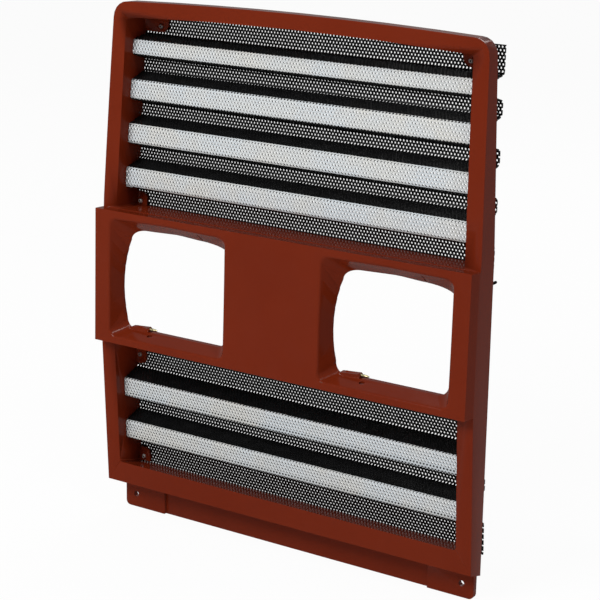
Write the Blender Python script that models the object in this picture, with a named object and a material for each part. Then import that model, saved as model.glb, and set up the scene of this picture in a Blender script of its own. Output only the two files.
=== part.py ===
"""Radiator grille of a tractor nose.

A one-piece moulded shell carries an upper window, a lamp band that stands forward with two tapered lamp
openings, a lower window and a set-back fixing flange. Behind each window a folded sheet of perforated
steel is riveted to small corner tabs of the moulding.

Metres, +Z up, the front faces -Y. The origin lies on the rear face of the flange, midway between its holes.
"""
import math

import bmesh
import bpy
from mathutils import Matrix, Vector

# Outer form of the shell, seen from the front
HALF_WIDTH = 0.298
TAPER_START = 0.014
SIDE_TAPER = 0.034
SIDE_FLARE = 0.0054
SIDE_DRAFT = 0.03
BAND_END_DRAFT = 0.12
BAND_END_START = 0.001
TOP_Z = 0.7312
TOP_CROWN = 0.0055
TOP_CORNER_RADIUS = 0.023
BAND_TOP_Z = 0.440
BAND_BOTTOM_Z = 0.249
LOWER_EDGE_Z = 0.0275

# Side profile of the shell
SKIRT_REAR_Y = -0.0085
UPPER_DEPTH = 0.0365
UPPER_LEAN = 0.0435
UPPER_CURVE = 0.039
BAND_PROUD = 0.0212
BAND_LEAN = 0.0154
LOWER_PROUD = 0.0056
LOWER_LEAN = 0.061
UNDERSIDE_FALL = 0.0092
LEDGE_FALL = 0.08

# Moulding
WALL = 0.0033
DUCT_WALL = 0.003
EDGE_RADIUS = 0.003
DRAFT = 0.06
GAP = 0.0003

# Windows: widths of the strips of frame round them
UPPER_SIDE_STRIP = 0.0226
TOP_STRIP = 0.0202
UPPER_WINDOW_CROWN = 0.007
LOWER_SIDE_STRIP = 0.0215
BOTTOM_STRIP = 0.0315
SILL_STEP = 0.0005
SILL_FALL = 0.28
WINDOW_CORNER_RADIUS = 0.004

# Lamp openings: front edge, then how far each side draws in down to the rear rim
LAMP_HALF_WIDTH = 0.098
LAMP_SIDE_STRIP = 0.026
LAMP_TOP_STRIP = 0.011
LAMP_BOTTOM_STRIP = 0.010
LAMP_CORNER = 0.010
LAMP_EDGE_RADIUS = 0.003
LAMP_CROWN = 0.002
LAMP_DEPTH = 0.0242
TOP_IN = 0.0166
BOTTOM_IN = 0.0075
LEFT_TOP_IN = 0.021
LEFT_BOTTOM_IN = 0.013
LEFT_BOW = 0.009
LEFT_CORNER_WIDTH = 0.028
LEFT_CORNER_HEIGHT = 0.016
RIGHT_TOP_IN = 0.010
RIGHT_BOTTOM_IN = 0.0135
RIGHT_BOW = 0.002
RIGHT_CORNER_WIDTH = 0.050
RIGHT_CORNER_HEIGHT = 0.012
REAR_LOWER_CORNER = 0.016
CUP_WALL = 0.003

# Boss, drain hole and ceiling slit of each lamp opening, measured from its centre and its rear rim
BOSS_LEFT = -0.078
BOSS_WIDTH = 0.031
BOSS_RISE = 0.0055
BOSS_FRONT = 0.003
BOSS_BEHIND = 0.008
DRAIN_X = -0.0395
DRAIN_AHEAD = 0.009
DRAIN_RADIUS = 0.003
SLIT_X = 0.048
SLIT_WIDTH = 0.0025
SLIT_LENGTH = 0.014

# Folded sheets: laps over the window's edges, set-backs of crests and rear flats behind the front face
SHEET = 0.0015
BEND_RADIUS = 0.004
UPPER_SIDE_LAP = 0.0122
UPPER_SHEET_TAPER = 0.01
UPPER_CREST_SETBACK = 0.0205
UPPER_CREST_LEAN = 0.052
UPPER_REAR_SETBACK = 0.0545
UPPER_REAR_LEAN = 0.035
UPPER_FIRST_CREST = 0.0265
UPPER_PITCH = 0.0616
UPPER_CREST_HEIGHT = 0.0265
UPPER_TOP_CREST_HEIGHT = 0.0205
UPPER_WEB_RUN = 0.009
UPPER_LAST_WEB_RUN = 0.005
UPPER_TOP_LAP = 0.0015
UPPER_BOTTOM_LAP = 0.016
LOWER_SIDE_LAP = 0.012
LOWER_CREST_SETBACK = 0.0202
LOWER_CREST_LEAN = 0.055
LOWER_REAR_SETBACK = 0.0562
LOWER_REAR_LEAN = 0.055
LOWER_FIRST_CREST = 0.0324
LOWER_PITCH = 0.0649
LOWER_CREST_HEIGHT = 0.0272
LOWER_WEB_RUN = 0.010
LOWER_TOP_LAP = 0.001
LOWER_BOTTOM_LAP = 0.023
END_FLAT = 0.012

# Slots in the folded sheets, which stand for their fine perforation
SLOTS_ACROSS = 12
SLOT_SHARE_WIDE = 0.65
SLOT_SHARE_HIGH = 0.5

# Rivets, and the corner tabs that they go through: distances from the window's side, sill and ceiling
TAB = 0.0045
TAB_REACH = 0.0105
TAB_HEIGHT = 0.0142
TOP_TAB_REACH = 0.012
TOP_TAB_DROP = 0.008
RIVET_RADIUS = 0.002
RIVET_HEAD_RADIUS = 0.0036
RIVET_HEAD = 0.0025
RIVET_TAIL_RADIUS = 0.003
RIVET_TAIL = 0.002
RIVET_FIT = 0.0003
TOP_RIVET_IN = 0.0344
TOP_RIVET_DOWN = 0.022
SILL_RIVET_IN = 0.0044
SILL_RIVET_UP = 0.0005
CEILING_RIVET_IN = 0.0045
CEILING_RIVET_DOWN = 0.0355
LOW_RIVET_IN = 0.0045
LOW_RIVET_DOWN = 0.0055

# Flange
FLANGE_SIDE = 0.008
FLANGE_DROP = 0.0197
FLANGE = 0.004
FLANGE_CORNER = 0.007
PAD = 0.008
PAD_WIDTH = 0.070
FIXING_EDGE = 0.0184
FIXING_RADIUS = 0.00425

# Lamp screws and side studs
SCREW_RADIUS = 0.0022
SCREW_HELD = 0.024
SCREW_OUT = 0.0115
SCREW_POINT = 0.004
SCREW_FIT = 0.0003
STUD_SIDE = 0.0095
STUD_BELOW_BAND_TOP = 0.0288
STUD_RADIUS = 0.002
STUD_OUT = 0.0255
STUD_COLLAR_RADIUS = 0.0032
STUD_COLLAR = 0.003
STUD_DEPTH = 0.010
LUG_HALF = 0.008
LUG_DEPTH = 0.0155

BEYOND = 0.03
ROUND = 16

# Places that follow from the sizes above
UPPER_FACE_Y = SKIRT_REAR_Y - UPPER_DEPTH
BAND_FRONT_Y = UPPER_FACE_Y - BAND_PROUD
LOWER_FACE_Y = UPPER_FACE_Y - LOWER_PROUD
LAMP_REAR_Y = BAND_FRONT_Y + LAMP_DEPTH
TAPER_START_Z = BAND_TOP_Z + TAPER_START
UPPER_WINDOW_HALF = HALF_WIDTH - UPPER_SIDE_STRIP
UPPER_WINDOW_TOP_Z = TOP_Z - TOP_STRIP
LOWER_WINDOW_HALF = HALF_WIDTH - LOWER_SIDE_STRIP
LOWER_WINDOW_BOTTOM_Z = LOWER_EDGE_Z + BOTTOM_STRIP
LAMP_X = HALF_WIDTH - LAMP_SIDE_STRIP - LAMP_HALF_WIDTH
LAMP_TOP_Z = BAND_TOP_Z - LAMP_TOP_STRIP
LAMP_BOTTOM_Z = BAND_BOTTOM_Z + LAMP_BOTTOM_STRIP
RIM_TOP_Z = LAMP_TOP_Z - TOP_IN
RIM_BOTTOM_Z = LAMP_BOTTOM_Z + BOTTOM_IN
BOSS_RIGHT = BOSS_LEFT + BOSS_WIDTH
SCREW_Y = LAMP_REAR_Y + BOSS_BEHIND / 2
SCREW_Z = RIM_BOTTOM_Z + BOSS_RISE / 2
FLANGE_HALF_WIDTH = HALF_WIDTH - FLANGE_SIDE
FIXING_X = FLANGE_HALF_WIDTH - FIXING_EDGE
UNDERSIDE_Z = LOWER_EDGE_Z - UNDERSIDE_FALL
STUD_X = HALF_WIDTH - STUD_SIDE
STUD_Z = BAND_TOP_Z - STUD_BELOW_BAND_TOP


def clear_scene():
    for item in list(bpy.data.objects):
        bpy.data.objects.remove(item, do_unlink=True)


def new_object(name, bm):
    """Make an object from a bmesh with its faces turned outward."""
    bmesh.ops.recalc_face_normals(bm, faces=bm.faces)
    mesh = bpy.data.meshes.new(name)
    bm.to_mesh(mesh)
    bm.free()
    item = bpy.data.objects.new(name, mesh)
    bpy.context.scene.collection.objects.link(item)
    return item


def add_solid(bm, loops):
    """Add a closed solid that runs through loops of 3D points, which match one to one."""
    rings = [[bm.verts.new(point) for point in loop] for loop in loops]
    bm.faces.new(rings[0])
    bm.faces.new(rings[-1])
    count = len(rings[0])
    for near, far in zip(rings, rings[1:]):
        for i in range(count):
            j = (i + 1) % count
            bm.faces.new((near[i], near[j], far[j], far[i]))


def loft(name, *loops):
    bm = bmesh.new()
    add_solid(bm, loops)
    return new_object(name, bm)


def across(name, profile, left, right):
    """Extrude a side profile of (y, z) points from one x to another."""
    first = [(left, y, z) for y, z in profile]
    last = [(right, y, z) for y, z in profile]
    return loft(name, first, last)


def through(name, front, front_y, rear, rear_y):
    """Loft between two front-view outlines of (x, z) points at two depths."""
    first = [(x, front_y, z) for x, z in front]
    last = [(x, rear_y, z) for x, z in rear]
    return loft(name, first, last)


def rod(name, radius, start, end, sides=ROUND):
    """Cylinder between two points."""
    start = Vector(start)
    direction = Vector(end) - start
    bm = bmesh.new()
    bmesh.ops.create_cone(bm, cap_ends=True, segments=sides, radius1=radius, radius2=radius,
                          depth=direction.length)
    turn = direction.to_track_quat("Z", "Y").to_matrix().to_4x4()
    bmesh.ops.transform(bm, matrix=Matrix.Translation(start + direction / 2) @ turn, verts=bm.verts)
    return new_object(name, bm)


def turned(name, profile, sides=ROUND):
    """Turn a profile of (radius, height) points, from axis to axis, round +Z."""
    bm = bmesh.new()
    points = [bm.verts.new((radius, 0.0, height)) for radius, height in profile]
    edges = [bm.edges.new((a, b)) for a, b in zip(points, points[1:])]
    bmesh.ops.spin(bm, geom=points + edges, cent=(0, 0, 0), axis=(0, 0, 1), angle=math.tau, steps=sides,
                   use_merge=True)
    bmesh.ops.remove_doubles(bm, verts=bm.verts, dist=1e-6)
    return new_object(name, bm)


def combine(target, others, operation):
    """Apply one Boolean of each other object to the target and remove those objects."""
    for other in others:
        modifier = target.modifiers.new("cut", "BOOLEAN")
        modifier.solver = "EXACT"
        modifier.operation = operation
        modifier.object = other
        evaluated = target.evaluated_get(bpy.context.evaluated_depsgraph_get())
        mesh = bpy.data.meshes.new_from_object(evaluated)
        target.modifiers.clear()
        old = target.data
        target.data = mesh
        mesh.name = target.name
        bpy.data.meshes.remove(old)
        bpy.data.objects.remove(other, do_unlink=True)
    return target


def arc(centre, radii, start, end, steps):
    """Points of an elliptic arc, angles in degrees."""
    points = []
    for i in range(steps + 1):
        angle = math.radians(start + (end - start) * i / steps)
        points.append((centre[0] + radii[0] * math.cos(angle), centre[1] + radii[1] * math.sin(angle)))
    return points


def offset(points, distance, closed):
    """Move each point of a 2D line sideways, to the left of its direction, with mitred corners."""
    count = len(points)
    moved = []
    for i, point in enumerate(points):
        before = points[i - 1] if closed or i > 0 else None
        after = points[(i + 1) % count] if closed or i < count - 1 else None
        here = Vector(point)
        sides = []
        if before is not None:
            sides.append((here - Vector(before)).normalized())
        if after is not None:
            sides.append((Vector(after) - here).normalized())
        normals = [Vector((-side.y, side.x)) for side in sides]
        middle = sum(normals, Vector((0, 0))).normalized()
        moved.append(tuple(here + middle * distance / middle.dot(normals[0])))
    return moved


def rounded(points, radius, steps=3):
    """Round the inner corners of an open 2D line."""
    result = [points[0]]
    for before, corner, after in zip(points, points[1:], points[2:]):
        here = Vector(corner)
        back = (Vector(before) - here).normalized()
        ahead = (Vector(after) - here).normalized()
        half_angle = back.angle(ahead) / 2
        reach = radius / math.tan(half_angle)
        centre = here + (back + ahead).normalized() * (radius / math.sin(half_angle))
        first = here + back * reach - centre
        last = here + ahead * reach - centre
        turn = first.angle_signed(last)
        for i in range(steps + 1):
            angle = -turn * i / steps
            spoke = Vector((first.x * math.cos(angle) - first.y * math.sin(angle),
                            first.x * math.sin(angle) + first.y * math.cos(angle)))
            result.append(tuple(centre + spoke))
    result.append(points[-1])
    return result


def upper_face(z):
    rise = z - TAPER_START_Z
    return UPPER_FACE_Y + UPPER_LEAN * rise + UPPER_CURVE * rise * rise


def lower_face(z):
    return LOWER_FACE_Y + LOWER_LEAN * (BAND_BOTTOM_Z - z)


def band_face(z):
    return BAND_FRONT_Y - BAND_LEAN * (BAND_TOP_Z - z)


def shell_profile(rear):
    """Side profile of the outer form, from the lower rear corner up the front to the top."""
    top = TOP_Z + BEYOND
    meet_z = BAND_TOP_Z - LEDGE_FALL * (UPPER_FACE_Y - BAND_FRONT_Y)
    points = [(rear, UNDERSIDE_Z)]
    points.append((lower_face(LOWER_EDGE_Z), LOWER_EDGE_Z))
    points.append((lower_face(BAND_BOTTOM_Z), BAND_BOTTOM_Z))
    points.append((band_face(BAND_BOTTOM_Z), BAND_BOTTOM_Z))
    points.append((band_face(BAND_TOP_Z), BAND_TOP_Z))
    steps = 8
    for i in range(steps + 1):
        z = meet_z + (top - meet_z) * i / steps
        points.append((upper_face(z), z))
    points.append((rear, top))
    return points


def shell_outline(inset):
    """Front view of the outer form: sides that draw in above the band, and a crowned top."""
    corner = TOP_CORNER_RADIUS - inset
    side_top = HALF_WIDTH - SIDE_TAPER * (TOP_Z - TOP_CORNER_RADIUS - TAPER_START_Z) - inset
    flat = side_top - corner
    end_z = TOP_Z - TOP_CROWN - inset
    low = UNDERSIDE_Z - BEYOND
    foot = HALF_WIDTH + SIDE_FLARE * (TAPER_START_Z - low) - inset
    right = [(foot, low), (HALF_WIDTH - inset, TAPER_START_Z)]
    right += arc((flat, end_z - corner), (corner, corner), 0, 90, 5)
    steps = 4
    for i in range(1, steps + 1):
        x = flat * (1 - i / steps)
        right.append((x, end_z + TOP_CROWN * (1 - (x / flat) ** 2)))
    left = [(-x, z) for x, z in reversed(right[:-1])]
    return right + left


def drafted(inset, front, rear):
    """Outer form between two depths, drawn in slightly to the rear and, on the band, to the front."""
    solids = []
    for slope, start in ((SIDE_DRAFT, UPPER_FACE_Y), (-BAND_END_DRAFT, LOWER_FACE_Y - BAND_END_START)):
        ends = [shell_outline(inset + slope * (y - start)) for y in (front, rear)]
        solids.append(through("outline", ends[0], front, ends[1], rear))
    return combine(solids[0], [solids[1]], "INTERSECT")


def window_outline(half, side_taper, bottom, top, crown, grow):
    """Front view of a window at one depth, with small round corners."""
    radius = WINDOW_CORNER_RADIUS + grow
    low = half + grow
    high = half + grow - side_taper * (top - bottom)
    base = bottom - grow
    end_z = top + grow - crown
    points = arc((low - radius, base + radius), (radius, radius), -90, 0, 3)
    points += arc((high - radius, end_z - radius), (radius, radius), 0, 90, 3)
    steps = 4
    flat = high - radius
    for i in range(1, steps):
        x = flat * (1 - 2 * i / steps)
        points.append((x, end_z + crown * (1 - (x / flat) ** 2)))
    points += [(-x, z) for x, z in reversed(arc((high - radius, end_z - radius), (radius, radius), 0, 90, 3))]
    points += [(-x, z) for x, z in reversed(arc((low - radius, base + radius), (radius, radius), -90, 0, 3))]
    return points


def upper_window(y, grow):
    depth = y - UPPER_FACE_Y
    sill = BAND_TOP_Z - LEDGE_FALL * (y - BAND_FRONT_Y) + SILL_STEP
    return window_outline(UPPER_WINDOW_HALF + DRAFT * depth, SIDE_TAPER, sill, UPPER_WINDOW_TOP_Z,
                          UPPER_WINDOW_CROWN, grow)


def lower_window(y, grow):
    depth = y - LOWER_FACE_Y
    sill_face = lower_face(LOWER_WINDOW_BOTTOM_Z)
    sill = LOWER_WINDOW_BOTTOM_Z - SILL_FALL * (y - sill_face)
    return window_outline(LOWER_WINDOW_HALF + DRAFT * depth, 0.0, sill, BAND_BOTTOM_Z - SILL_STEP, 0.0, grow)


def upper_crest(z):
    return UPPER_FACE_Y + UPPER_CREST_SETBACK + UPPER_CREST_LEAN * (z - TAPER_START_Z)


def upper_rear(z):
    return UPPER_FACE_Y + UPPER_REAR_SETBACK + UPPER_REAR_LEAN * (z - TAPER_START_Z)


def lower_crest(z):
    return LOWER_FACE_Y + LOWER_CREST_SETBACK + LOWER_CREST_LEAN * (BAND_BOTTOM_Z - z)


def lower_rear(z):
    return LOWER_FACE_Y + LOWER_REAR_SETBACK + LOWER_REAR_LEAN * (BAND_BOTTOM_Z - z)


def crest_heights(first, pitch, height, top_height, top):
    """Heights of the crests that fit between the first crest and the top of the window."""
    spare = top - END_FLAT - top_height - first
    count = 1 + max(0, int(spare / pitch))
    return [height] * (count - 1) + [top_height]


def fold_corners(crest, rear, first, pitch, heights, run, last_run, bottom, top):
    """Sharp corners of a folded sheet's front surface from its bottom edge to its top edge, as (y, z)."""
    points = [(rear(bottom), bottom)]
    for i, height in enumerate(heights):
        low = first + pitch * i
        high = low + height
        flat = high + (last_run if i == len(heights) - 1 else run)
        points += [(rear(low - run), low - run), (crest(low), low), (crest(high), high), (rear(flat), flat)]
    points.append((rear(top), top))
    return points


def upper_corners(bottom_lap, top_lap):
    first = BAND_TOP_Z + UPPER_FIRST_CREST
    heights = crest_heights(first, UPPER_PITCH, UPPER_CREST_HEIGHT, UPPER_TOP_CREST_HEIGHT,
                            UPPER_WINDOW_TOP_Z)
    return fold_corners(upper_crest, upper_rear, first, UPPER_PITCH, heights, UPPER_WEB_RUN,
                        UPPER_LAST_WEB_RUN, BAND_TOP_Z - bottom_lap, UPPER_WINDOW_TOP_Z + top_lap)


def lower_corners(bottom_lap, top_lap):
    first = LOWER_WINDOW_BOTTOM_Z + LOWER_FIRST_CREST
    heights = crest_heights(first, LOWER_PITCH, LOWER_CREST_HEIGHT, LOWER_CREST_HEIGHT, BAND_BOTTOM_Z)
    return fold_corners(lower_crest, lower_rear, first, LOWER_PITCH, heights, LOWER_WEB_RUN,
                        LOWER_WEB_RUN, LOWER_WINDOW_BOTTOM_Z - bottom_lap, BAND_BOTTOM_Z + top_lap)


def duct(name, outline, corners, face):
    """Walls round a window, as a block whose rear follows the folded sheet that lies on it."""
    front_y = BAND_FRONT_Y
    rear_y = BEYOND
    block = through(name, outline(front_y, DUCT_WALL), front_y, outline(rear_y, DUCT_WALL), rear_y)
    rim = offset(rounded(corners(BEYOND, BEYOND), BEND_RADIUS), GAP, False)
    inside = [(face(rim[-1][1]) + WALL / 2, rim[-1][1])]
    steps = 6
    for i in range(1, steps):
        z = rim[-1][1] + (rim[0][1] - rim[-1][1]) * i / steps
        inside.append((face(z) + WALL / 2, z))
    inside.append((face(rim[0][1]) + WALL / 2, rim[0][1]))
    trim = across("trim", rim + inside, -HALF_WIDTH - BEYOND, HALF_WIDTH + BEYOND)
    return combine(block, [trim], "INTERSECT")


def lamp_side(half_top, half_bottom, bow, bottom, top, corner_top, corner_bottom):
    """One side of a lamp opening from its foot to its head, x counted outward from its centre line."""
    side_low = bottom + corner_bottom[1]
    side_high = top - corner_top[1]
    points = arc((half_bottom - corner_bottom[0], side_low), corner_bottom, -90, 0, 8)
    steps = 8
    for i in range(1, steps):
        t = i / steps
        x = half_bottom + (half_top - half_bottom) * t + 4 * bow * t * (1 - t)
        points.append((x, side_low + (side_high - side_low) * t))
    return points + arc((half_top - corner_top[0], side_high), corner_top, 0, 90, 9)


def lamp_loop(right, left, crown_z):
    return right + [(0.0, crown_z)] + [(-x, z) for x, z in reversed(left)]


def lamp_front(grow):
    corner = (LAMP_CORNER + grow, LAMP_CORNER + grow)
    half = LAMP_HALF_WIDTH + grow
    side = lamp_side(half, half, 0.0, LAMP_BOTTOM_Z - grow, LAMP_TOP_Z + grow, corner, corner)
    return lamp_loop(side, side, LAMP_TOP_Z + grow + LAMP_CROWN)


def lamp_rear(grow):
    low = RIM_BOTTOM_Z - grow
    high = RIM_TOP_Z + grow
    half = LAMP_HALF_WIDTH + grow
    foot = (REAR_LOWER_CORNER + grow, REAR_LOWER_CORNER + grow)
    right = lamp_side(half - RIGHT_TOP_IN, half - RIGHT_BOTTOM_IN, RIGHT_BOW, low, high,
                      (RIGHT_CORNER_WIDTH + grow, RIGHT_CORNER_HEIGHT + grow), foot)
    left = lamp_side(half - LEFT_TOP_IN, half - LEFT_BOTTOM_IN, LEFT_BOW, low, high,
                     (LEFT_CORNER_WIDTH + grow, LEFT_CORNER_HEIGHT + grow), foot)
    return lamp_loop(right, left, high + LAMP_CROWN)


def lamp_lines(centre, grow):
    """Ends of each line of a lamp opening's wall, on the band's face and on the rear rim."""
    lines = []
    for (x0, z0), (x1, z1) in zip(lamp_front(grow), lamp_rear(grow)):
        lines.append((Vector((centre + x0, band_face(z0), z0)), Vector((centre + x1, LAMP_REAR_Y, z1))))
    return lines


def lamp_cup(name, centre):
    """Outer surface of a lamp opening's wall, from inside the band's skin to the rear rim."""
    lines = lamp_lines(centre, CUP_WALL)
    near = [edge.lerp(rear, WALL * 0.8 / (rear.y - edge.y)) for edge, rear in lines]
    return loft(name, near, [rear for _, rear in lines])


def lamp_mouth(name, centre):
    """Cutter for a lamp opening: a rounded front edge, then straight walls back past the rear rim."""
    lines = lamp_lines(centre, 0.0)
    outer = [front for front, _ in lamp_lines(centre, LAMP_EDGE_RADIUS)]
    ahead = Vector((0, -GAP / 4, 0))
    loops = [[start + Vector((0, -LAMP_EDGE_RADIUS, 0)) for start in outer]]
    steps = 4
    for i in range(steps + 1):
        t = i / steps
        loop = []
        for start, (edge, rear) in zip(outer, lines):
            end = edge + (rear - edge).normalized() * LAMP_EDGE_RADIUS
            bend = start * (1 - t) ** 2 + edge * 2 * t * (1 - t) + end * t ** 2
            loop.append(bend + ahead * (1 - t))
        loops.append(loop)
    loops.append([edge.lerp(rear, 1 + CUP_WALL / (rear.y - edge.y)) for edge, rear in lines])
    return loft(name, *loops)


def lamp_boss(name, centre):
    """Solid boss on the rear lip below the opening, which takes the lamp screw in its end."""
    low = RIM_BOTTOM_Z - CUP_WALL / 2
    high = RIM_BOTTOM_Z + BOSS_RISE
    slope = BOSS_RISE / 2
    outline = [(BOSS_LEFT - slope, low), (BOSS_RIGHT, low), (BOSS_RIGHT, high - slope),
               (BOSS_RIGHT - slope, high), (BOSS_LEFT, high)]
    outline = [(centre + x, z) for x, z in outline]
    return through(name, outline, LAMP_REAR_Y - BOSS_FRONT, outline, LAMP_REAR_Y + BOSS_BEHIND)


def gusset(side, x_in, x_out, low, high, rear_plane, round_low):
    """Corner tab behind a window, in front of the sheet's rear flat, with its free corner rounded."""
    radius = min(x_out - x_in, high - low) * 0.5
    if round_low:
        outline = [(x_out, low), (x_out, high), (x_in, high)]
        outline += arc((x_in + radius, low + radius), (radius, radius), 180, 270, 4)
    else:
        outline = [(x_out, high), (x_out, low), (x_in, low)]
        outline += arc((x_in + radius, high - radius), (radius, radius), 180, 90, 4)
    rear = [(side * x, rear_plane(z) - GAP, z) for x, z in outline]
    front = [(x, y - TAB, z) for x, y, z in rear]
    return loft("tab", front, rear)


def rivet_rows():
    """Half spacing and height of each pair of rivets, with the plane of the sheet that they go through."""
    return [("upper_top", UPPER_WINDOW_HALF - TOP_RIVET_IN, UPPER_WINDOW_TOP_Z - TOP_RIVET_DOWN, upper_rear),
            ("upper_sill", UPPER_WINDOW_HALF - SILL_RIVET_IN, BAND_TOP_Z + SILL_RIVET_UP, upper_rear),
            ("lower_top", LOWER_WINDOW_HALF - CEILING_RIVET_IN, BAND_BOTTOM_Z - CEILING_RIVET_DOWN,
             lower_rear),
            ("lower_sill", LOWER_WINDOW_HALF - LOW_RIVET_IN, LOWER_WINDOW_BOTTOM_Z - LOW_RIVET_DOWN,
             lower_rear)]


def rivet_places():
    """Label, point on the front of the sheet and rearward direction of each rivet."""
    places = []
    for row, x, z, plane in rivet_rows():
        axis = Vector((0, 1, plane(z) - plane(z + 1))).normalized()
        for label, side in (("left", -1), ("right", 1)):
            places.append((row + "_" + label, Vector((side * x, plane(z), z)), axis))
    return places


def rivet_bores(clearance):
    bores = []
    for _, place, axis in rivet_places():
        bores.append(rod("bore", RIVET_RADIUS + clearance, place - axis * 0.008, place + axis * 0.008))
    return bores


def add_material(item, name, colour, roughness, metallic):
    material = bpy.data.materials.get(name)
    if material is None:
        material = bpy.data.materials.new(name)
        material.use_nodes = True
        shader = material.node_tree.nodes["Principled BSDF"]
        shader.inputs["Base Color"].default_value = (*colour, 1.0)
        shader.inputs["Roughness"].default_value = roughness
        shader.inputs["Metallic"].default_value = metallic
    item.data.materials.clear()
    item.data.materials.append(material)
    item.data.shade_smooth()
    item.data.set_sharp_from_angle(angle=math.radians(30))


def soften_front(item):
    """Round the front edges of the outer form."""
    bm = bmesh.new()
    bm.from_mesh(item.data)
    bmesh.ops.dissolve_limit(bm, angle_limit=math.radians(0.2), verts=bm.verts, edges=bm.edges)
    chosen = []
    for edge in bm.edges:
        ends = [vert.co.y for vert in edge.verts]
        if max(ends) < SKIRT_REAR_Y - EDGE_RADIUS and edge.calc_face_angle(0.0) > math.radians(50):
            chosen.append(edge)
    bmesh.ops.bevel(bm, geom=chosen, offset=EDGE_RADIUS, segments=2, profile=0.5, affect="EDGES",
                    clamp_overlap=True, material=-1)
    bm.to_mesh(item.data)
    bm.free()


def make_tray():
    """Outer skin of the moulding: faces, lamp band and skirt, open to the rear."""
    wide = HALF_WIDTH + BEYOND
    front = BAND_FRONT_Y - BEYOND / 3
    tray = across("shell", shell_profile(SKIRT_REAR_Y), -wide, wide)
    combine(tray, [drafted(0.0, front, BEYOND)], "INTERSECT")
    soften_front(tray)
    hollow = across("hollow", offset(shell_profile(BEYOND), -WALL, True), -wide, wide)
    combine(hollow, [drafted(WALL, front, BEYOND * 2)], "INTERSECT")
    return combine(tray, [hollow], "DIFFERENCE")


def add_windows(shell):
    upper = duct("upper_duct", upper_window, upper_corners, upper_face)
    lower = duct("lower_duct", lower_window, lower_corners, lower_face)
    combine(shell, [upper, lower], "UNION")
    cuts = []
    for outline, face_y in ((upper_window, UPPER_FACE_Y), (lower_window, LOWER_FACE_Y)):
        front_y = face_y - EDGE_RADIUS
        cuts.append(through("window", outline(front_y, 0.0), front_y, outline(BEYOND, 0.0), BEYOND))
    combine(shell, cuts, "DIFFERENCE")


def lamp_slit(name, centre):
    """Cutter for the narrow slit through the rear part of an opening's ceiling."""
    left = centre + SLIT_X - SLIT_WIDTH / 2
    right = centre + SLIT_X + SLIT_WIDTH / 2
    low = RIM_TOP_Z - CUP_WALL
    high = LAMP_TOP_Z + CUP_WALL
    outline = [(left, low), (right, low), (right, high), (left, high)]
    end = LAMP_REAR_Y - CUP_WALL
    return through(name, outline, end - SLIT_LENGTH, outline, end)


def add_lamp_openings(shell):
    both = (-LAMP_X, LAMP_X)
    combine(shell, [lamp_cup("cup", centre) for centre in both], "UNION")
    combine(shell, [lamp_mouth("mouth", centre) for centre in both], "DIFFERENCE")
    combine(shell, [lamp_boss("boss", centre) for centre in both], "UNION")
    cuts = []
    for centre in both:
        end = centre + BOSS_RIGHT
        cuts.append(rod("bore", SCREW_RADIUS + SCREW_FIT, (end - SCREW_HELD, SCREW_Y, SCREW_Z),
                        (end + SCREW_OUT, SCREW_Y, SCREW_Z)))
        drain = (centre + DRAIN_X, LAMP_REAR_Y - DRAIN_AHEAD)
        cuts.append(rod("drain", DRAIN_RADIUS, (*drain, LAMP_BOTTOM_Z - CUP_WALL),
                        (*drain, RIM_BOTTOM_Z + CUP_WALL)))
        cuts.append(lamp_slit("slit", centre))
    combine(shell, cuts, "DIFFERENCE")


def add_tabs(shell):
    """Corner tabs, each reaching from its rivet to the wall and to the sill or ceiling of the window."""
    grow = DUCT_WALL / 2
    ceiling = UPPER_WINDOW_TOP_Z - UPPER_WINDOW_CROWN + grow
    sill = BAND_TOP_Z + LEDGE_FALL * BAND_FRONT_Y - grow
    low_sill = LOWER_WINDOW_BOTTOM_Z + SILL_FALL * lower_face(LOWER_WINDOW_BOTTOM_Z) - grow
    upper_wall = UPPER_WINDOW_HALF - DRAFT * UPPER_FACE_Y + grow
    lower_wall = LOWER_WINDOW_HALF - DRAFT * LOWER_FACE_Y + grow
    top, over_sill, under_band, low = [(x, z) for _, x, z, _ in rivet_rows()]
    head_wall = upper_wall - SIDE_TAPER * (top[1] - TAPER_START_Z)
    reach = TAB_REACH
    tabs = []
    for side in (-1, 1):
        tabs.append(gusset(side, top[0] - TOP_TAB_REACH, head_wall, top[1] - TOP_TAB_DROP, ceiling,
                           upper_rear, True))
        tabs.append(gusset(side, over_sill[0] - reach, upper_wall, sill, over_sill[1] + TAB_HEIGHT,
                           upper_rear, False))
        tabs.append(gusset(side, under_band[0] - reach, lower_wall, under_band[1] - TAB_HEIGHT,
                           BAND_BOTTOM_Z + grow, lower_rear, True))
        tabs.append(gusset(side, low[0] - reach, lower_wall, low_sill, low[1] + TAB_HEIGHT,
                           lower_rear, False))
    combine(shell, tabs, "UNION")
    combine(shell, rivet_bores(RIVET_FIT), "DIFFERENCE")


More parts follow.
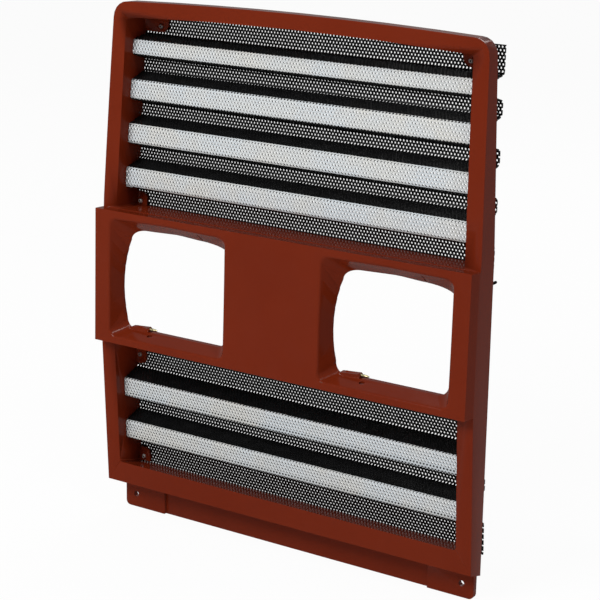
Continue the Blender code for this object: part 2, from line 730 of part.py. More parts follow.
def add_flange(shell):
    """Fixing flange below the lower edge, set back, with a thicker pad at each end."""
    root_z = UNDERSIDE_Z + WALL * 0.8
    half = FLANGE_HALF_WIDTH
    corner = FLANGE_CORNER
    outline = [(half, root_z), (-half, root_z)]
    outline += arc((-half + corner, corner - FLANGE_DROP), (corner, corner), 180, 270, 4)
    outline += arc((half - corner, corner - FLANGE_DROP), (corner, corner), 270, 360, 4)
    plate = through("flange", outline, -PAD, outline, 0.0)
    inner = half - PAD_WIDTH
    middle = [(inner, root_z - WALL * 1.6), (-inner, root_z - WALL * 1.6),
              (-inner, -FLANGE_DROP - WALL), (inner, -FLANGE_DROP - WALL)]
    combine(plate, [through("relief", middle, -PAD - WALL, middle, -FLANGE)], "DIFFERENCE")
    root = [(SKIRT_REAR_Y - WALL, root_z - WALL * 0.6), (-FLANGE / 2, root_z - WALL * 0.6),
            (-FLANGE / 2, root_z - WALL * 0.1), (SKIRT_REAR_Y - WALL, root_z - WALL * 0.1)]
    combine(shell, [plate, across("root", root, -half + WALL, half - WALL)], "UNION")
    holes = []
    for x in (-FIXING_X, FIXING_X):
        holes.append(rod("hole", FIXING_RADIUS, (x, -PAD - WALL, 0), (x, WALL, 0), 24))
    combine(shell, holes, "DIFFERENCE")


def add_lugs(shell):
    """Lugs inside the skirt that hold the side studs."""
    lugs = []
    bores = []
    seat_y = SKIRT_REAR_Y - STUD_DEPTH - GAP
    for side in (-1, 1):
        centre = side * STUD_X
        inner = side * (STUD_X - LUG_HALF)
        outer = side * (HALF_WIDTH - WALL / 2)
        outline = [(inner, STUD_Z - LUG_HALF), (outer, STUD_Z - LUG_HALF),
                   (outer, STUD_Z + LUG_HALF), (inner, STUD_Z + LUG_HALF)]
        lugs.append(through("lug", outline, SKIRT_REAR_Y - LUG_DEPTH, outline, SKIRT_REAR_Y))
        bores.append(rod("bore", STUD_RADIUS + SCREW_FIT, (centre, seat_y, STUD_Z), (centre, BEYOND, STUD_Z)))
    combine(shell, lugs, "UNION")
    combine(shell, bores, "DIFFERENCE")


def make_shell():
    shell = make_tray()
    add_windows(shell)
    add_lamp_openings(shell)
    add_tabs(shell)
    add_flange(shell)
    add_lugs(shell)
    add_material(shell, "moulding", (0.19, 0.028, 0.014), 0.35, 0.0)
    return shell


def sheet_slots(corners, half):
    """Rows of plain slots, one through each flat of a folded sheet; end rows stop short of the rivets."""
    pitch = 2 * half / SLOTS_ACROSS
    wide = pitch * SLOT_SHARE_WIDE / 2
    last_row = len(corners) - 2
    bm = bmesh.new()
    for row, (foot, head) in enumerate(zip(corners, corners[1:])):
        middle = (Vector(foot) + Vector(head)) / 2
        rise = (Vector(head) - Vector(foot)) * SLOT_SHARE_HIGH / 2
        depth = Vector((-rise.y, rise.x)).normalized() * BEND_RADIUS
        skipped = 1 if row in (0, last_row) else 0
        for column in range(skipped, SLOTS_ACROSS - skipped):
            x = pitch * (column + 0.5) - half
            loops = []
            for side in (-depth, depth):
                low = middle - rise + side
                high = middle + rise + side
                loops.append([(x - wide, *low), (x + wide, *low), (x + wide, *high), (x - wide, *high)])
            add_solid(bm, loops)
    return new_object("slots", bm)


def make_sheet(name, corners, window_half, side_lap, draw_in):
    """Folded sheet of constant thickness, drawn in towards its top, slotted and bored for its rivets."""
    front = rounded(corners, BEND_RADIUS)
    profile = front + offset(front, -SHEET, False)[::-1]
    ends = []
    for side in (-1, 1):
        half = window_half + side_lap
        ends.append([(side * (half - draw_in * (z - front[0][1])), y, z) for y, z in profile])
    sheet = loft(name, ends[0], ends[1])
    combine(sheet, [sheet_slots(corners, window_half)], "DIFFERENCE")
    combine(sheet, rivet_bores(RIVET_FIT), "DIFFERENCE")
    add_material(sheet, "black_steel", (0.02, 0.02, 0.02), 0.4, 0.6)
    return sheet


def place_copies(name, mesh, places):
    """One object for each place, all sharing one mesh that stands along its own +Z."""
    for label, start, axis in places:
        item = bpy.data.objects.new(name + "_" + label, mesh)
        bpy.context.scene.collection.objects.link(item)
        item.location = start
        item.rotation_mode = "QUATERNION"
        item.rotation_quaternion = axis.to_track_quat("Z", "Y")


def make_rivets():
    """One turned rivet for each corner: domed head in front of the tab, tail behind the sheet."""
    front = GAP + TAB + GAP
    rear = SHEET + GAP
    profile = [(0.0, -front - RIVET_HEAD)]
    profile += [(RIVET_HEAD_RADIUS * 0.7, -front - RIVET_HEAD * 0.8), (RIVET_HEAD_RADIUS, -front)]
    profile += [(RIVET_RADIUS, -front), (RIVET_RADIUS, rear), (RIVET_TAIL_RADIUS, rear)]
    profile += [(RIVET_TAIL_RADIUS, rear + RIVET_TAIL), (0.0, rear + RIVET_TAIL)]
    pattern = turned("rivet_pattern", profile)
    add_material(pattern, "bright_zinc", (0.6, 0.6, 0.58), 0.3, 1.0)
    place_copies("rivet", pattern.data, rivet_places())
    bpy.data.objects.remove(pattern, do_unlink=True)


def make_lamp_screws():
    """Pointed screw in the end of each boss, lying along X."""
    total = SCREW_HELD - GAP + SCREW_OUT
    profile = [(0.0, 0.0), (SCREW_RADIUS, 0.0), (SCREW_RADIUS, total - SCREW_POINT),
               (SCREW_RADIUS * 0.35, total), (0.0, total)]
    pattern = turned("screw_pattern", profile, 12)
    add_material(pattern, "yellow_zinc", (0.55, 0.5, 0.3), 0.35, 1.0)
    places = []
    for label, centre in (("left", -LAMP_X), ("right", LAMP_X)):
        start = Vector((centre + BOSS_RIGHT - SCREW_HELD + GAP, SCREW_Y, SCREW_Z))
        places.append((label, start, Vector((1, 0, 0))))
    place_copies("lamp_screw", pattern.data, places)
    bpy.data.objects.remove(pattern, do_unlink=True)


def make_side_studs():
    """Black stud that stands out to the rear beside each end of the lamp band."""
    length = STUD_DEPTH + STUD_OUT
    seat = STUD_DEPTH + GAP
    profile = [(0.0, 0.0), (STUD_RADIUS, 0.0), (STUD_RADIUS, seat), (STUD_COLLAR_RADIUS, seat),
               (STUD_COLLAR_RADIUS, seat + STUD_COLLAR), (STUD_RADIUS, seat + STUD_COLLAR),
               (STUD_RADIUS, length - STUD_RADIUS / 2), (STUD_RADIUS / 2, length), (0.0, length)]
    pattern = turned("stud_pattern", profile, 12)
    add_material(pattern, "black_oxide", (0.03, 0.03, 0.03), 0.5, 0.6)
    places = []
    for label, side in (("left", -1), ("right", 1)):
        start = Vector((side * STUD_X, SKIRT_REAR_Y - STUD_DEPTH, STUD_Z))
        places.append((label, start, Vector((0, 1, 0))))
    place_copies("side_stud", pattern.data, places)
    bpy.data.objects.remove(pattern, do_unlink=True)


clear_scene()
make_shell()
make_sheet("upper_mesh", upper_corners(UPPER_BOTTOM_LAP, UPPER_TOP_LAP), UPPER_WINDOW_HALF,
           UPPER_SIDE_LAP, UPPER_SHEET_TAPER)
make_sheet("lower_mesh", lower_corners(LOWER_BOTTOM_LAP, LOWER_TOP_LAP), LOWER_WINDOW_HALF,
           LOWER_SIDE_LAP, 0.0)
make_rivets()
make_lamp_screws()
make_side_studs()
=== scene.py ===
"""Radiator grille of a tractor nose.

A red-brown moulded shell carries two perforated folded sheets with their rivets, the lamp screws
and the side studs.
"""
import math

import bmesh
import bpy
from mathutils import Matrix, Vector


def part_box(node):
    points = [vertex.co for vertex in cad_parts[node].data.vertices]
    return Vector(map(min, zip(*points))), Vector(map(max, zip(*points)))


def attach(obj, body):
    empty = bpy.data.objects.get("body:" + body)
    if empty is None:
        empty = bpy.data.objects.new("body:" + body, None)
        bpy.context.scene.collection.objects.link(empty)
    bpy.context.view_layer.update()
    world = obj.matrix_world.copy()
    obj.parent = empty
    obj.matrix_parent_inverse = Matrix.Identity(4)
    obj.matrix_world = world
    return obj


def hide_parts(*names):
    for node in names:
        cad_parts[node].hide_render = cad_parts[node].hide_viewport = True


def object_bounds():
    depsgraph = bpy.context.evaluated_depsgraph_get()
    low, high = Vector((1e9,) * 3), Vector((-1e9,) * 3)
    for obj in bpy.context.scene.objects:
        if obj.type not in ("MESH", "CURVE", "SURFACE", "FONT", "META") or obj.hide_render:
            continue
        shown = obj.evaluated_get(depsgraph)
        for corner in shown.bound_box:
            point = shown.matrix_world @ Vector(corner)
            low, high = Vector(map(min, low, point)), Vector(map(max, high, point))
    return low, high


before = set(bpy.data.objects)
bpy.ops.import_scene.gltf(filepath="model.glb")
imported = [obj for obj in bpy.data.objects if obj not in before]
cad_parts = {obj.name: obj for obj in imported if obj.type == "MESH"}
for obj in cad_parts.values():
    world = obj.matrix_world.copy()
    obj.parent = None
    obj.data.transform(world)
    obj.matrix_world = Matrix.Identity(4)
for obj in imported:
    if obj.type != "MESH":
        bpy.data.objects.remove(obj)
cad_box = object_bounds()

# Studio: a plain white sweep with a pale floor, on which the grille stands on its flange's edge.
# One large soft lamp is in front, a small one above and one behind. The camera stands above and to
# the right of the grille, turned a little about its own line of sight.
CAMERA_AT = Vector((1.3259, -2.05435, 1.03525))
CAMERA_TURN = math.radians(32.7747)
CAMERA_DIP = math.radians(15.8303)
CAMERA_ROLL = math.radians(1.168)
LENS = 112.61
SENSOR = 36.0
VIEW_REACH = 50.0
WHITE = (1.0, 1.0, 1.0, 1.0)
ROOM_LIGHT = 0.26
SWEEP_IN_GLOSS = 0.25
LAMP_AIM = (0.0, 0.0, 0.35)
FLOOR_SIZE = 60.0
FLOOR_GAP = 0.0002
FLOOR_WHITE = (0.95, 0.95, 0.95, 1.0)
FLOOR_GLOW_SHARE = 0.95
FLOOR_IN_GLOSS = 0.22

right = Vector((math.cos(CAMERA_TURN), math.sin(CAMERA_TURN), 0.0))
ahead = Vector((-math.sin(CAMERA_TURN) * math.cos(CAMERA_DIP),
                math.cos(CAMERA_TURN) * math.cos(CAMERA_DIP), -math.sin(CAMERA_DIP)))
above = right.cross(ahead)
across = right * math.cos(CAMERA_ROLL) + above * math.sin(CAMERA_ROLL)
upward = above * math.cos(CAMERA_ROLL) - right * math.sin(CAMERA_ROLL)
camera_data = bpy.data.cameras.new("camera")
camera_data.sensor_width = SENSOR
camera_data.lens = LENS
camera_data.clip_end = VIEW_REACH
camera = bpy.data.objects.new("camera", camera_data)
bpy.context.scene.collection.objects.link(camera)
camera.matrix_world = Matrix((across, upward, -ahead)).transposed().to_4x4()
camera.location = CAMERA_AT
bpy.context.scene.camera = camera
bpy.context.scene.view_settings.view_transform = "Standard"


def link_nodes(tree, *pairs):
    """Join sockets, each pair given as (from, to)."""
    for start, end in pairs:
        tree.links.new(start, end)


def backdrop_share(tree):
    """1 for a ray that shows the backdrop, straight or in a shiny or clear surface, else 0."""
    path = tree.nodes.new("ShaderNodeLightPath")
    either = tree.nodes.new("ShaderNodeMath")
    either.operation = "MAXIMUM"
    seen = tree.nodes.new("ShaderNodeMath")
    seen.operation = "MAXIMUM"
    link_nodes(tree,
               (path.outputs["Is Camera Ray"], either.inputs[0]),
               (path.outputs["Is Glossy Ray"], either.inputs[1]),
               (either.outputs[0], seen.inputs[0]),
               (path.outputs["Is Transmission Ray"], seen.inputs[1]))
    return seen.outputs[0]


def backdrop_level(tree, in_gloss):
    """White to the eye, and in_gloss in a shiny surface: the room is darker than its sweep."""
    path = tree.nodes.new("ShaderNodeLightPath")
    level = tree.nodes.new("ShaderNodeMapRange")
    level.inputs["To Min"].default_value = 1.0
    level.inputs["To Max"].default_value = in_gloss
    tree.links.new(path.outputs["Is Glossy Ray"], level.inputs["Value"])
    return level.outputs["Result"]


def white_sweep(ambient, in_gloss):
    """World that is white to look at, dimmer in gloss, and lights softly from all round."""
    world = bpy.data.worlds.new("white_sweep")
    world.use_nodes = True
    tree = world.node_tree
    tree.nodes.clear()
    soft = tree.nodes.new("ShaderNodeBackground")
    soft.inputs["Color"].default_value = WHITE
    soft.inputs["Strength"].default_value = ambient
    white = tree.nodes.new("ShaderNodeBackground")
    white.inputs["Color"].default_value = WHITE
    mix = tree.nodes.new("ShaderNodeMixShader")
    out = tree.nodes.new("ShaderNodeOutputWorld")
    link_nodes(tree,
               (backdrop_share(tree), mix.inputs[0]),
               (backdrop_level(tree, in_gloss), white.inputs["Strength"]),
               (soft.outputs[0], mix.inputs[1]),
               (white.outputs[0], mix.inputs[2]),
               (mix.outputs[0], out.inputs[0]))
    return world


def pale_floor_material(in_gloss):
    """Matt white floor that keeps a light shadow under the object."""
    material = bpy.data.materials.new("pale_floor")
    material.use_nodes = True
    tree = material.node_tree
    tree.nodes.clear()
    matt = tree.nodes.new("ShaderNodeBsdfDiffuse")
    matt.inputs["Color"].default_value = FLOOR_WHITE
    glow = tree.nodes.new("ShaderNodeEmission")
    share = tree.nodes.new("ShaderNodeMath")
    share.operation = "MULTIPLY"
    share.inputs[1].default_value = FLOOR_GLOW_SHARE
    mix = tree.nodes.new("ShaderNodeMixShader")
    out = tree.nodes.new("ShaderNodeOutputMaterial")
    link_nodes(tree,
               (backdrop_share(tree), share.inputs[0]),
               (share.outputs[0], mix.inputs[0]),
               (backdrop_level(tree, in_gloss), glow.inputs["Strength"]),
               (matt.outputs[0], mix.inputs[1]),
               (glow.outputs[0], mix.inputs[2]),
               (mix.outputs[0], out.inputs["Surface"]))
    return material


def soft_lamp(name, place, size, power):
    """Round soft lamp at one place, turned to the middle of the grille."""
    data = bpy.data.lights.new(name, "AREA")
    data.shape = "DISK"
    data.size = size
    data.energy = power
    lamp = bpy.data.objects.new(name, data)
    bpy.context.scene.collection.objects.link(lamp)
    lamp.location = place
    lamp.rotation_euler = (Vector(LAMP_AIM) - Vector(place)).to_track_quat("-Z", "Y").to_euler()


bpy.context.scene.world = white_sweep(ROOM_LIGHT, SWEEP_IN_GLOSS)
soft_lamp("front_lamp", (-0.7, -2.8, 2.75), 1.5, 86.0)
soft_lamp("top_lamp", (1.25, -0.75, 2.6), 0.5, 9.5)
soft_lamp("rear_lamp", (-0.6, 2.6, 2.4), 2.0, 25.0)

floor_mesh = bmesh.new()
bmesh.ops.create_grid(floor_mesh, x_segments=1, y_segments=1, size=FLOOR_SIZE / 2)
bmesh.ops.translate(floor_mesh, verts=floor_mesh.verts, vec=(0.0, 0.0, cad_box[0][2] - FLOOR_GAP))
floor_data = bpy.data.meshes.new("floor")
floor_mesh.to_mesh(floor_data)
floor_mesh.free()
floor = bpy.data.objects.new("floor", floor_data)
floor.data.materials.append(pale_floor_material(FLOOR_IN_GLOSS))
bpy.context.scene.collection.objects.link(floor)


# Shell: one injection moulding in glossy red-brown plastic, with a duct round each window and each
# lamp opening. The mould leaves every outer edge softly rounded. It is fixed by two bolts in its
# flange. Drain and boss are measured from the centre line of their lamp opening.
SHELL_BROWN = (0.172, 0.0200, 0.0056, 1.0)
SHELL_DEEP = (0.158, 0.0172, 0.0045, 1.0)
SHELL_IOR = 1.24
FLOW_SCALE = 7.0
RUBBED_SCALE = 38.0
PEEL_SCALE = 160.0
MIX_FIRST, MIX_LAST, MIX_RESULT = 6, 7, 2
SHARP_FROM = math.radians(32)
WELD = 2e-6
TOUCH = 1e-6
SAME_SPOT = 1e-5
LAMP_X = 0.174
LAMP_HALF_WIDTH = 0.098
LAMP_FOOT = 0.2592
LAMP_HEAD = 0.4305
LAMP_FRONT = -0.066
LAMP_REAR = -0.042
LIP_CLEAR = 0.0002
LIP_FACING = 0.96
WALL_BANDS = 5
DRAIN_X = -0.0395
DRAIN_Y = -0.051
DRAIN_RADIUS = 0.003
DRAIN_SLACK = 0.0001
DRAIN_FOOT = 0.2552
DRAIN_HEAD = 0.28
DRAIN_WIDER = 0.001
BOSS_LEFT = -0.078
BOSS_TOP = 0.272
BOSS_FALL = 0.0022


def finish_piece(name, bm, material, nodes):
    """Turn a finished bmesh into a piece that rides on the grille and stands for its CAD nodes."""
    data = bpy.data.meshes.new(name)
    bm.to_mesh(data)
    bm.free()
    data.materials.append(material)
    data.shade_smooth()
    data.set_sharp_from_angle(angle=SHARP_FROM)
    piece = bpy.data.objects.new(name, data)
    bpy.context.scene.collection.objects.link(piece)
    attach(piece, "root")
    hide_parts(*nodes)
    return piece


def new_material(name, roughness, metallic):
    """Material with its shader, and the node that gives places on the piece."""
    material = bpy.data.materials.new(name)
    material.use_nodes = True
    tree = material.node_tree
    shader = tree.nodes["Principled BSDF"]
    shader.inputs["Roughness"].default_value = roughness
    shader.inputs["Metallic"].default_value = metallic
    place = tree.nodes.new("ShaderNodeTexCoord")
    return material, tree, shader, place.outputs["Object"]


def noise(tree, place, scale, detail, roughness=0.5):
    """Cloudy pattern at a given fineness."""
    node = tree.nodes.new("ShaderNodeTexNoise")
    node.inputs["Scale"].default_value = scale
    node.inputs["Detail"].default_value = detail
    node.inputs["Roughness"].default_value = roughness
    tree.links.new(place, node.inputs["Vector"])
    return node.outputs["Fac"]


def spread(tree, value, low, high, out_low=0.0, out_high=1.0):
    """Stretch one range of a value to another, clamped."""
    node = tree.nodes.new("ShaderNodeMapRange")
    node.inputs["From Min"].default_value = low
    node.inputs["From Max"].default_value = high
    node.inputs["To Min"].default_value = out_low
    node.inputs["To Max"].default_value = out_high
    tree.links.new(value, node.inputs["Value"])
    return node.outputs["Result"]


def blend_colours(tree, share, first, last):
    """Mix two colours by a share; each is a fixed colour or a socket."""
    node = tree.nodes.new("ShaderNodeMix")
    node.data_type = "RGBA"
    tree.links.new(share, node.inputs["Factor"])
    for colour, socket in ((first, node.inputs[MIX_FIRST]), (last, node.inputs[MIX_LAST])):
        if isinstance(colour, tuple):
            socket.default_value = colour
        else:
            tree.links.new(colour, socket)
    return node.outputs[MIX_RESULT]


def bump(tree, shader, height, strength, distance):
    """Raise the surface by a pattern."""
    node = tree.nodes.new("ShaderNodeBump")
    node.inputs["Strength"].default_value = strength
    node.inputs["Distance"].default_value = distance
    tree.links.new(height, node.inputs["Height"])
    tree.links.new(node.outputs["Normal"], shader.inputs["Normal"])


def shell_material():
    """Glossy red-brown moulding: slow flow in the colour, fine orange peel, rubbed patches."""
    material, tree, shader, place = new_material("moulding", 0.15, 0.0)
    flow = spread(tree, noise(tree, place, FLOW_SCALE, 4.0), 0.35, 0.65)
    tree.links.new(blend_colours(tree, flow, SHELL_DEEP, SHELL_BROWN), shader.inputs["Base Color"])
    rubbed = spread(tree, noise(tree, place, RUBBED_SCALE, 5.0), 0.3, 0.7, 0.10, 0.20)
    tree.links.new(rubbed, shader.inputs["Roughness"])
    shader.inputs["IOR"].default_value = SHELL_IOR
    bump(tree, shader, noise(tree, place, PEEL_SCALE, 1.0), 0.05, 0.0004)
    return material


def welded(node):
    """Copy of a CAD node's skin with its loose triangles joined."""
    bm = bmesh.new()
    bm.from_mesh(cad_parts[node].data)
    bmesh.ops.remove_doubles(bm, verts=bm.verts, dist=WELD)
    return bm


def shape_lamp_opening(bm, centre):
    """Band the tapered wall, widen the drain hole, and let the screw boss rise to its right."""
    wall = [face for face in bm.faces
            if abs(face.calc_center_median().x - centre) < LAMP_HALF_WIDTH
            and LAMP_FOOT < face.calc_center_median().z < LAMP_HEAD
            and face.calc_center_median().y < LAMP_REAR - LIP_CLEAR
            and abs(face.normal.y) < LIP_FACING]
    for step in range(1, WALL_BANDS):
        depth = LAMP_FRONT + (LAMP_REAR - LAMP_FRONT) * step / WALL_BANDS
        geom = list({item for face in wall for item in (face, *face.edges, *face.verts)})
        cut = bmesh.ops.bisect_plane(bm, geom=geom, dist=TOUCH, plane_co=(0, depth, 0),
                                     plane_no=(0, 1, 0))
        wall = [item for item in cut["geom"] if isinstance(item, bmesh.types.BMFace)]
    for vert in bm.verts:
        from_drain = Vector((vert.co.x - centre - DRAIN_X, vert.co.y - DRAIN_Y, 0.0))
        on_drain = abs(from_drain.length - DRAIN_RADIUS) < DRAIN_SLACK
        if on_drain and DRAIN_FOOT < vert.co.z < DRAIN_HEAD:
            vert.co += from_drain.normalized() * DRAIN_WIDER
        from_boss_end = Vector((vert.co.x - centre - BOSS_LEFT, vert.co.z - BOSS_TOP))
        if max(abs(part) for part in from_boss_end) < SAME_SPOT:
            vert.co.z -= BOSS_FALL


moulding = shell_material()
shell_mesh = welded("shell")
for lamp_centre in (-LAMP_X, LAMP_X):
    shape_lamp_opening(shell_mesh, lamp_centre)
shell = finish_piece("shell_moulding", shell_mesh, moulding, ["shell"])
even_shading = shell.modifiers.new("even_shading", "WEIGHTED_NORMAL")
even_shading.keep_sharp = True


# Folded sheets: mild steel with 3 mm holes punched in staggered rows 5 mm apart, folded into
# flat-topped ridges and dipped black, with the faces of the ridges rolled white. Each is riveted to
# the corner tabs behind its window.
HOLE_PITCH = 0.005
HOLE_LAND = 0.00116
SHEET_THICKNESS = 0.0015
BURR = 0.0004
PAINT_BLACK = (0.0030, 0.0030, 0.0032, 1.0)
PAINT_GREY = (0.0075, 0.0075, 0.0080, 1.0)
PAINT_WHITE = (0.60, 0.645, 0.675, 1.0)
PAINT_CREAM = (0.63, 0.63, 0.60, 1.0)
PUNCHED_EDGE = (0.018, 0.018, 0.019, 1.0)
ROLLED_OVER_TOP = 0.0045
ROLLED_UNDER = 0.0022
ROLLER_RAGGED = 0.35
SHEET_IOR = 1.32
RAGGED_SCALE = 260.0
THIN_DIP_SCALE = 60.0
YELLOWED_SCALE = 9.0
SHEET_GRAIN_SCALE = 700.0
ROW_PITCH = HOLE_PITCH * math.sqrt(3) / 2


def sheet_material():
    """Black dip coat, and rolled white on the ridges that fades out over their corners."""
    material, tree, shader, place = new_material("black_and_white_steel", 0.4, 0.0)
    shader.inputs["IOR"].default_value = SHEET_IOR
    rolled = tree.nodes.new("ShaderNodeAttribute")
    rolled.attribute_name = "rolled"
    ragged = tree.nodes.new("ShaderNodeMath")
    ragged.operation = "MULTIPLY_ADD"
    ragged.inputs[1].default_value = ROLLER_RAGGED
    link_nodes(tree,
               (noise(tree, place, RAGGED_SCALE, 3.0), ragged.inputs[0]),
               (rolled.outputs["Fac"], ragged.inputs[2]))
    painted = spread(tree, ragged.outputs[0], 0.60, 0.72)
    thin_dip = spread(tree, noise(tree, place, THIN_DIP_SCALE, 4.0), 0.4, 0.7)
    black = blend_colours(tree, thin_dip, PAINT_BLACK, PAINT_GREY)
    yellowed = spread(tree, noise(tree, place, YELLOWED_SCALE, 5.0, 0.65), 0.42, 0.62)
    white = blend_colours(tree, yellowed, PAINT_WHITE, PAINT_CREAM)
    skin = blend_colours(tree, painted, black, white)
    punched = tree.nodes.new("ShaderNodeAttribute")
    punched.attribute_name = "punched"
    colour = blend_colours(tree, punched.outputs["Fac"], skin, PUNCHED_EDGE)
    tree.links.new(colour, shader.inputs["Base Color"])
    tree.links.new(spread(tree, painted, 0.0, 1.0, 0.38, 0.6), shader.inputs["Roughness"])
    bump(tree, shader, noise(tree, place, SHEET_GRAIN_SCALE, 3.0), 0.15, 0.0002)
    return material


def fold_line(node):
    """Front line of a sheet, as (y, z) points from its foot up, read from its solid's end."""
    bm = welded(node)
    bmesh.ops.dissolve_limit(bm, angle_limit=math.radians(0.3), verts=bm.verts, edges=bm.edges)
    end = max((face for face in bm.faces if face.normal.x > 0.9), key=lambda face: len(face.verts))
    ring = [(vert.co.y, vert.co.z) for vert in end.verts]
    bm.free()
    low = min(z for _, z in ring)
    high = max(z for _, z in ring)
    foot = min(point for point in ring if point[1] < low + SHEET_THICKNESS / 2)
    head = min(point for point in ring if point[1] > high - SHEET_THICKNESS / 2)
    start = ring.index(foot)
    ring = ring[start:] + ring[:start]
    line = ring[:ring.index(head) + 1]
    if len(line) > len(ring) / 2 + 1 or line[1][1] < line[0][1]:
        line = [ring[0]] + ring[:0:-1][:len(ring) - ring.index(head)]
    return line


def runs_along(line):
    """Distances along a line of (y, z) points."""
    runs = [0.0]
    for (y0, z0), (y1, z1) in zip(line, line[1:]):
        runs.append(runs[-1] + math.hypot(y1 - y0, z1 - z0))
    return runs


def punched_strip(first, last, rows):
    """Flat strip of punched sheet: six-sided cells round each hole, in staggered rows along X."""
    bm = bmesh.new()
    bmesh.ops.create_circle(bm, cap_ends=True, segments=6, radius=HOLE_PITCH / math.sqrt(3))
    bmesh.ops.inset_individual(bm, faces=bm.faces[:], thickness=HOLE_LAND, use_even_offset=True)
    hole = max(bm.faces, key=lambda face: len(face.verts) * 10 - face.calc_center_median().length)
    bmesh.ops.delete(bm, geom=[hole], context="FACES")
    bmesh.ops.translate(bm, verts=bm.verts, vec=(first * HOLE_PITCH, 0.0, 0.0))
    cell = bm.faces[:]
    for column in range(1, last - first):
        copy = bmesh.ops.duplicate(bm, geom=cell)["geom"]
        verts = [item for item in copy if isinstance(item, bmesh.types.BMVert)]
        bmesh.ops.translate(bm, verts=verts, vec=(column * HOLE_PITCH, 0.0, 0.0))
    row_faces = bm.faces[:]
    for row in range(1, rows):
        copy = bmesh.ops.duplicate(bm, geom=row_faces)["geom"]
        verts = [item for item in copy if isinstance(item, bmesh.types.BMVert)]
        shift = (row % 2) * HOLE_PITCH / 2
        bmesh.ops.translate(bm, verts=verts, vec=(shift, row * ROW_PITCH, 0.0))
    bmesh.ops.remove_doubles(bm, verts=bm.verts, dist=HOLE_LAND / 20)
    return bm


def cut_away(bm, point, normal):
    """Remove what lies beyond a plane."""
    bmesh.ops.bisect_plane(bm, geom=bm.verts[:] + bm.edges[:] + bm.faces[:], dist=TOUCH,
                           plane_co=point, plane_no=normal, clear_outer=True)


def front_plane(line, z):
    """Depth of the plane through the faces of the ridges at one height."""
    upright = [(y0, z0, y1, z1) for (y0, z0), (y1, z1) in zip(line, line[1:])
               if abs(y1 - y0) < 0.2 * (z1 - z0)]
    middle = sum(face[0] for face in upright) / len(upright)
    ridges = [face for face in upright if face[0] < middle]
    y0, z0 = ridges[0][:2]
    y1, z1 = ridges[-1][2:]
    return y0 + (y1 - y0) * (z - z0) / (z1 - z0)


def folded_sheet(name, node, strips, material):
    """Perforated sheet bent along its solid's fold line, in strips that meet along whole cells."""
    line = fold_line(node)
    runs = runs_along(line)
    low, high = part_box(node)
    half = high.x
    corners = [vert.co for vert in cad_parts[node].data.vertices]
    half_top = max(co.x for co in corners if co.z > high.z - SHEET_THICKNESS)
    draw_in = (half - half_top) / (high.z - low.z)
    columns = int(2 * half / HOLE_PITCH) + 3
    rows = int(runs[-1] / ROW_PITCH) + 3
    for strip in range(strips):
        first = columns * strip // strips - columns // 2
        last = columns * (strip + 1) // strips - columns // 2
        bm = punched_strip(first, last, rows)
        cut_away(bm, (0, 0, 0), (0, -1, 0))
        cut_away(bm, (0, runs[-1], 0), (0, 1, 0))
        reach = bm.verts.layers.float.new("reach")
        for vert in bm.verts:
            run = min(max(vert.co.y, 0.0), runs[-1])
            part = max(i for i in range(len(runs) - 1) if runs[i] <= run + 1e-9 or i == 0)
            share = (run - runs[part]) / (runs[part + 1] - runs[part])
            (y0, z0), (y1, z1) = line[part], line[part + 1]
            vert.co.y = y0 + (y1 - y0) * share
            vert.co.z = z0 + (z1 - z0) * share
            vert[reach] = ROLLED_OVER_TOP if y1 > y0 else ROLLED_UNDER
        for side in (-1, 1):
            cut_away(bm, (side * half, 0, low.z), (side, 0, draw_in))
        bmesh.ops.recalc_face_normals(bm, faces=bm.faces)
        if sum(face.normal.y * face.calc_area() for face in bm.faces) > 0:
            bmesh.ops.reverse_faces(bm, faces=bm.faces)
        reach = bm.verts.layers.float["reach"]
        paint = {}
        for vert in bm.verts:
            behind = vert.co.y - front_plane(line, vert.co.z)
            paint[vert] = 1.0 - max(0.0, behind / vert[reach])
        bmesh.ops.solidify(bm, geom=bm.faces[:], thickness=SHEET_THICKNESS + BURR)
        rolled = bm.loops.layers.float.new("rolled")
        punched = bm.loops.layers.float.new("punched")
        for face in bm.faces:
            in_front = sum(vert in paint for vert in face.verts)
            whole = in_front == len(face.verts)
            for loop in face.loops:
                loop[rolled] = max(0.0, paint[loop.vert]) if whole else 0.0
                loop[punched] = 1.0 if in_front and not whole else 0.0
        strip_name = name + "_strip_" + str(strip + 1)
        finish_piece(strip_name, bm, material, [node])


sheet_finish = sheet_material()
folded_sheet("upper_sheet", "upper_mesh", 3, sheet_finish)
folded_sheet("lower_sheet", "lower_mesh", 2, sheet_finish)


# Rivets: zinc plated steel blind rivets, one in each corner tab, with a wide dished head round a
# hollow where the pin broke off, its inside painted near black as shade, and a plain tail behind
# the sheet.
RIVET_SHANK = 0.002
RIVET_BRIM = 0.0025
RIVET_HOLLOW = 0.0011
RIVET_HOLLOW_DEPTH = 0.0016
PLATING_CLOUD_SCALE = 500.0
PLATING_GRAIN_SCALE = 2500.0
ZINC = (0.88, 0.83, 0.80, 1.0)
ZINC_DULL = (0.66, 0.60, 0.57, 1.0)
# Near black painted into the pin hollows as painted shade, not the colour of the metal.
HOLLOW_PAINTED_SHADE = (0.035, 0.028, 0.022, 1.0)


def plated_material(name, bright, dull, roughness):
    """Plated steel with cloudy dull patches and a fine grain."""
    material, tree, shader, place = new_material(name, roughness, 1.0)
    cloud = spread(tree, noise(tree, place, PLATING_CLOUD_SCALE, 4.0), 0.4, 0.65)
    tree.links.new(blend_colours(tree, cloud, bright, dull), shader.inputs["Base Color"])
    dulled = spread(tree, cloud, 0.0, 1.0, roughness, roughness + 0.25)
    tree.links.new(dulled, shader.inputs["Roughness"])
    bump(tree, shader, noise(tree, place, PLATING_GRAIN_SCALE, 2.0), 0.12, 0.0001)
    return material


